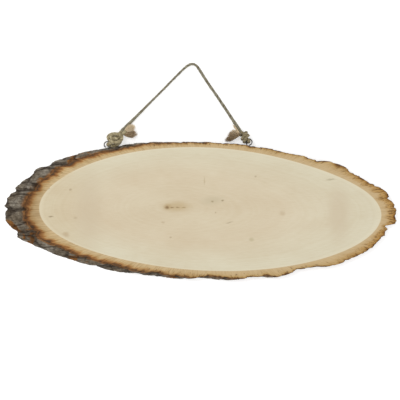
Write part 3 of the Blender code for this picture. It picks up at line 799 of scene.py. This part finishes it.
KNOT_STRAND = {"left": 1.85 * MM, "right": 1.65 * MM}

# Frayed ends: bundles of fibres.  Root, where the middle of the tips stands, half width at the tips, all in
# mm, number of fibres, and how pale they are: painted light and shade, the upper bundles pale as lit and
# the lower ones dark as shaded.
FRAYED_BUNDLES = {
    "left": (
        ((-78.0, 81.4, 4.6), (-67.2, 87.2, 4.2), 3.0, 380, 0.88),
        ((-79.2, 78.8, 4.2), (-65.0, 78.6, 3.8), 3.0, 400, 0.28),
    ),
    "right": (
        ((41.2, 78.6, 4.2), (25.6, 71.8, 2.6), 2.2, 320, 0.12),
        ((41.2, 78.8, 4.4), (28.4, 76.6, 3.6), 3.0, 340, 0.22),
        ((41.0, 79.2, 4.4), (30.6, 80.2, 3.8), 2.6, 260, 0.6),
        ((40.6, 80.4, 4.6), (33.6, 89.0, 2.0), 0.9, 50, 0.8),
    ),
}


def frayed_mesh(name, bundles, seed):
    """Untwisted yarn: each bundle's fibres start side by side, spread evenly over a disc at the tips, and
    bulge outwards on the way."""
    random = np.random.default_rng(seed)
    roots, ways, lengths, sags, tints = [], [], [], [], []
    for root, tip, half_width, count, pale in bundles:
        root, tip = np.array(root) * MM, np.array(tip) * MM
        way = unit(tip - root)
        flat = unit(np.cross(way, (0.0, 0.0, 1.0)))
        up = np.cross(flat, way)
        angle = random.uniform(0, 2 * np.pi, (count, 1))
        disc = np.sqrt(random.uniform(0, 1, (count, 1)))
        spread = np.cos(angle) * flat + 0.75 * np.sin(angle) * up
        start = root + spread * disc * 0.35 * half_width * MM
        reach = np.linalg.norm(tip - root) * (1.0 - 0.28 * disc[:, 0] ** 2)
        reach = reach * random.uniform(0.82, 1.06, count)
        bulge = spread * disc * half_width * MM * random.uniform(0.9, 1.25, (count, 1))
        roots.append(start)
        ways.append(way * reach[:, None] + 1.9 * bulge)
        sags.append(-1.0 * bulge + random.normal(0, 0.25, (count, 3)) * MM)
        lengths.append(np.linalg.norm(ways[-1], axis=1))
        # The bundle's paleness is painted light and shade; each fibre differs from it at random.
        tints.append(np.clip(pale + random.normal(0, 0.16, count), 0, 1))
    roots, ways, sags = np.vstack(roots), np.vstack(ways), np.vstack(sags)
    lengths, tints = np.concatenate(lengths), np.concatenate(tints)
    thickness = random.uniform(0.14, 0.26, len(roots)) * MM
    return fibres_mesh(name, roots, ways, lengths, sags, thickness, tints, seed + 1, wave=0.04)


# ---------------------------------------------------------------- screw eyes: shape

EYE_WIRE_RADIUS = 0.65 * MM
EYE_RING_RADIUS = 3.15 * MM
EYE_NECK = 1.3 * MM
EYE_NECK_BEND = (0.35 * MM, 0.45 * MM)
THREAD_RADIUS = 1.05 * MM
THREAD_CORE_RADIUS = 0.75 * MM
THREAD_PITCH = 1.0 * MM
THREAD_LENGTH = 9.0 * MM
TIP_LENGTH = 1.6 * MM
EYE_SIDES = 20
SHANK_ROWS = 190
RING_ROWS = 90
# The ring's wire starts and ends at these angles, in degrees, on the two sides of the neck.
RING_ENDS = (-55.0, 238.0)


def eye_mesh(name, node_name):
    """A screw eye, one wire carried up its shank, aside at the neck and round the ring.  On the threaded
    stretch its radius is the core's plus a V-shaped crest where the turns along it, less the angle round
    it as a share of a turn, is near a whole number; the tip tapers to a point."""
    low, high = (np.array(corner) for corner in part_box(node_name))
    centre = (low + high) / 2
    centre[1] = high[1] - EYE_RING_RADIUS - EYE_WIRE_RADIUS
    neck = -EYE_RING_RADIUS - EYE_NECK
    tip = low[1] - centre[1]
    up = np.linspace(tip, neck, SHANK_ROWS, endpoint=False)
    shank = np.column_stack((0.0 * up, up, 0.0 * up))
    turns = np.radians(np.linspace(*RING_ENDS, 34))
    ring = np.column_stack((EYE_RING_RADIUS * np.cos(turns), EYE_RING_RADIUS * np.sin(turns), 0.0 * turns))
    bend = ((0.0, neck, 0.0), (EYE_NECK_BEND[0], -EYE_RING_RADIUS - EYE_NECK_BEND[1], 0.0))
    path = np.vstack((shank, smooth_route(np.vstack((bend, ring)), RING_ROWS)))
    _, side, top = carried_frames(path)
    around = np.arange(EYE_SIDES) / EYE_SIDES * 2 * np.pi
    up_shank = (path[:, 1] - tip)[:, None]
    thread_end = TIP_LENGTH + THREAD_LENGTH
    threaded = smooth_step(0.2 * TIP_LENGTH, TIP_LENGTH, up_shank)
    threaded = threaded * (1.0 - smooth_step(thread_end - THREAD_PITCH, thread_end, up_shank))
    threaded[len(shank):] = 0.0
    turned = up_shank / THREAD_PITCH - around[None, :] / (2 * np.pi)
    crest = np.clip(1.0 - np.abs((turned % 1.0) - 0.5) / 0.22, 0.0, 1.0)
    plain = np.where(up_shank < thread_end, THREAD_CORE_RADIUS, EYE_WIRE_RADIUS)
    plain[len(shank):] = EYE_WIRE_RADIUS
    taper = np.clip(up_shank / TIP_LENGTH, 0.06, 1.0)
    taper[len(shank):] = 1.0
    reach = plain * taper + (THREAD_RADIUS - THREAD_CORE_RADIUS) * crest * threaded
    rings = rings_round(path, side, top, around, reach)
    return closed_grid(name, rings[:, ::-1] + centre, path[0] + centre, path[-1] + centre)


# ---------------------------------------------------------------- jute: materials

def jute_material(name, dark, middle, pale):
    """Jute, spun and laid in three: dull brown-grey with painted shade in the grooves between strands, and
    paler fibres.
    """
    m = new_material(name)
    strand = node(m, "Attribute", {"attribute_name": "strand_place"})
    by_strand = {"Vector": (strand, "Vector")}
    groove = node(m, "Attribute", {"attribute_name": "groove"})
    # Fibres 0.22 mm wide and 2.4 mm long, coarser than real jute so that they show.
    drawn = node(m, "Mapping", values={"Scale": (1 / 0.22, 1 / 0.22, 1 / 2.4)}, links=by_strand)
    fibres = node(m, "TexNoise", values={"Scale": 1.0, "Detail": 3.0}, links={"Vector": (drawn, "Vector")})
    yarn = node(m, "ValToRGB", links={"Fac": (fibres, "Fac")}, stops=(
        (0.3, dark), (0.5, middle), (0.7, pale)))
    lengthwise = node(m, "Mapping", values={"Scale": (0.3, 0.3, 1 / 4.5)}, links=by_strand)
    worn = node(m, "TexNoise", values={"Scale": 1.0, "Detail": 2.0},
                links={"Vector": (lengthwise, "Vector")})
    worn_tint = node(m, "ValToRGB", links={"Fac": (worn, "Fac")},
                     stops=((0.36, "#b5ad9c"), (0.6, "#ffffff")))
    colour = node(m, "Mix", TINT, {0: 0.8},
                  {FIRST: (yarn, "Color"), SECOND: (worn_tint, "Color")})
    # Painted shade: the grooves between the strands are darkened.
    painted_groove_shade = node(m, "MapRange", SMOOTH,
                     {"From Min": 0.3, "From Max": 1.0, "To Max": 0.75}, {"Value": (groove, "Fac")})
    colour = node(m, "Mix", MIX_COLOUR, {SECOND: linear("#3f3726")},
                  {0: (painted_groove_shade, "Result"), FIRST: (colour, MIXED)})
    bump = node(m, "Bump", values={"Distance": 0.15 * MM, "Strength": 0.8},
                links={"Height": (fibres, "Fac")})
    shader = node(m, "BsdfPrincipled",
                  values={"Roughness": 0.85, "IOR": 1.45, "Specular IOR Level": 0.2,
                          "Sheen Weight": 0.15, "Sheen Roughness": 0.5},
                  links={"Base Color": (colour, MIXED), "Normal": (bump, "Normal")})
    node(m, "OutputMaterial", links={"Surface": (shader, "BSDF")})
    return m


def loose_fibre_material():
    """Loose jute fibres, combed out by wear: each its own shade, from tobacco brown to pale straw; the
    frayed ends' bundles are painted pale where lit and dark where shaded, and the tips are paler.
    """
    m = new_material("frayed_jute_fibre")
    tint = node(m, "Attribute", {"attribute_name": "tint"})
    tip = node(m, "Attribute", {"attribute_name": "tip"})
    where = node(m, "TexCoord")
    by_place = {"Vector": (where, "Object")}
    specks = node(m, "TexNoise", values={"Scale": 1 / (1.2 * MM), "Detail": 2.0}, links=by_place)
    # The tint holds painted light and shade on the frayed bundles; the tips are made a little paler.
    pale_tips_and_painted_light = node(m, "Math", TIMES_PLUS, {1: 0.12}, {0: (tip, "Fac"), 2: (tint, "Fac")})
    shade = node(m, "Math", TIMES_PLUS, {1: 0.35}, {0: (specks, "Fac"), 2: (pale_tips_and_painted_light, "Value")})
    colour = node(m, "ValToRGB", links={"Fac": (shade, "Value")}, stops=(
        (0.15, "#745a3c"), (0.45, "#9b8260"), (0.75, "#c8ae88"), (1.0, "#ecd9b8")))
    shader = node(m, "BsdfPrincipled",
                  values={"Roughness": 0.8, "IOR": 1.45, "Specular IOR Level": 0.2, "Sheen Weight": 0.2},
                  links={"Base Color": (colour, "Color")})
    node(m, "OutputMaterial", links={"Surface": (shader, "BSDF")})
    return m


def eye_material():
    """Zinc-plated steel wire, bent and thread-rolled, and dulled by age: dark grey metal with blotches."""
    m = new_material("dulled_zinc_plated_steel_wire")
    where = node(m, "TexCoord")
    by_place = {"Vector": (where, "Object")}
    blotches = node(m, "TexNoise", values={"Scale": 1 / (1.6 * MM), "Detail": 4.0}, links=by_place)
    colour = node(m, "ValToRGB", links={"Fac": (blotches, "Fac")},
                  stops=((0.3, "#4e4d4b"), (0.7, "#85847f")))
    roughness = node(m, "MapRange", values={"To Min": 0.22, "To Max": 0.42},
                     links={"Value": (blotches, "Fac")})
    shader = node(m, "BsdfPrincipled", values={"Metallic": 1.0},
                  links={"Base Color": (colour, "Color"), "Roughness": (roughness, "Result")})
    node(m, "OutputMaterial", links={"Surface": (shader, "BSDF")})
    return m


# ---------------------------------------------------------------- studio

CAMERA_HEIGHT = 1144.0 * MM
CAMERA_LENS = 100.0
VIEW_CENTRE = (-0.13 * MM, 10.5 * MM)
# Name, place and size in metres, and power in watts.
LIGHTS = (
    ("key", (-0.8, 0.7, 1.4), 0.8, 7.0),
    ("fill", (0.9, -0.6, 1.5), 1.2, 3.5),
)


def build_studio():
    m = new_material("matt_white_paper")
    shader = node(m, "BsdfPrincipled", values={
        "Base Color": linear("#e6e6e6"), "Roughness": 0.9, "Specular IOR Level": 0.0,
        "Emission Color": linear("#ffffff"), "Emission Strength": 0.45})
    node(m, "OutputMaterial", links={"Surface": (shader, "BSDF")})
    bpy.ops.mesh.primitive_plane_add(size=8.0, location=(0.0, 0.0, -0.05 * MM))
    floor = bpy.context.object
    floor.name = "floor"
    floor.data.materials.append(m)

    world = bpy.data.worlds.new("studio")
    world.use_nodes = True
    world.node_tree.nodes["Background"].inputs["Color"].default_value = (1.0, 1.0, 1.0, 1.0)
    world.node_tree.nodes["Background"].inputs["Strength"].default_value = 0.74
    bpy.context.scene.world = world

    for name, spot, size, power in LIGHTS:
        light = bpy.data.lights.new(name, 'AREA')
        light.size = size
        light.energy = power
        lamp = bpy.data.objects.new(name, light)
        lamp.location = spot
        lamp.rotation_euler = (-lamp.location).to_track_quat('-Z', 'Y').to_euler()
        bpy.context.scene.collection.objects.link(lamp)

    camera = bpy.data.objects.new("camera", bpy.data.cameras.new("camera"))
    camera.data.lens = CAMERA_LENS
    camera.location = (*VIEW_CENTRE, THICKNESS + CAMERA_HEIGHT)
    bpy.context.scene.collection.objects.link(camera)
    bpy.context.scene.camera = camera
    bpy.context.scene.view_settings.view_transform = 'Standard'


# ---------------------------------------------------------------- the object

build_studio()

taut_jute = jute_material("laid_jute_twine_stretched_and_dusty", "#625d4d", "#8e8874", "#b8b29c")
# The knots are the same twine: the left knot's copy is painted lighter as lit, the right knot's darker as
# shaded.
tied_jute = {"left": jute_material("laid_jute_twine_tied_painted_lit", "#857a5f", "#b3a785", "#dccfa9"),
             "right": jute_material("laid_jute_twine_tied_painted_shaded", "#6c634b", "#95896b", "#c2b490")}
loose_fibre = loose_fibre_material()

route = smooth_route(ROPE_ROUTE_MM, ROPE_ROWS) * MM
near_knot = np.linspace(0.0, 1.0, len(route))
rope_radius = np.interp(near_knot, ROPE_RADIUS_MM[0], ROPE_RADIUS_MM[1]) * MM
rope_path = route.copy()
rope_path[:, 2] = np.maximum(route[:, 2], SWELLING_HIGH * rope_radius + 0.05 * MM)
rope = place("jute_rope", twine_mesh("jute_rope", rope_path, rope_radius, 41), taut_jute)
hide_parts("rope")

knot_paths = {}
on_rope = []
for seed, side in ((51, "left"), (61, "right")):
    strand_radius = KNOT_STRAND[side]
    path = settle(smooth_route(KNOT_ROUTES_MM[side], KNOT_ROWS) * MM, strand_radius, 20)
    knot_paths[side] = path
    knot_name, frayed_name = "jute_knot_" + side, "frayed_jute_" + side
    share = np.linspace(0, 1, len(path))
    swell = np.interp(share, (0.0, 0.12, 0.9, 1.0), (0.85, 1.0, 1.0, 0.9)) * strand_radius
    knot = place(knot_name, twine_mesh(knot_name, path, swell, seed, lay=KNOT_LAY), tied_jute[side])
    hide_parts("knot_" + side)
    frayed = place(frayed_name, frayed_mesh(frayed_name, FRAYED_BUNDLES[side], seed + 3), loose_fibre)
    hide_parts("frayed_end_" + side)
    on_rope += [knot, frayed]

hairy = [(path, HAIR_ROOTS[strand]) for strand, path in (("rope", rope_path), *knot_paths.items())]
fuzz = place("jute_fuzz", fuzz_mesh("jute_fuzz", hairy, 71), loose_fibre)
on_rope.append(fuzz)

slice_skin, slice_slots = slice_mesh()
wood_slice = place("slant_cut_slice", slice_skin, cut_face_material(), bark_material())
slice_skin.polygons.foreach_set("material_index", slice_slots)
slice_skin.update()
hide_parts("wood_slice")

zinc = eye_material()
for side in ("left", "right"):
    eye = place("bent_wire_eye_" + side, eye_mesh("bent_wire_eye_" + side, "screw_eye_" + side), zinc)
    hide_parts("screw_eye_" + side)
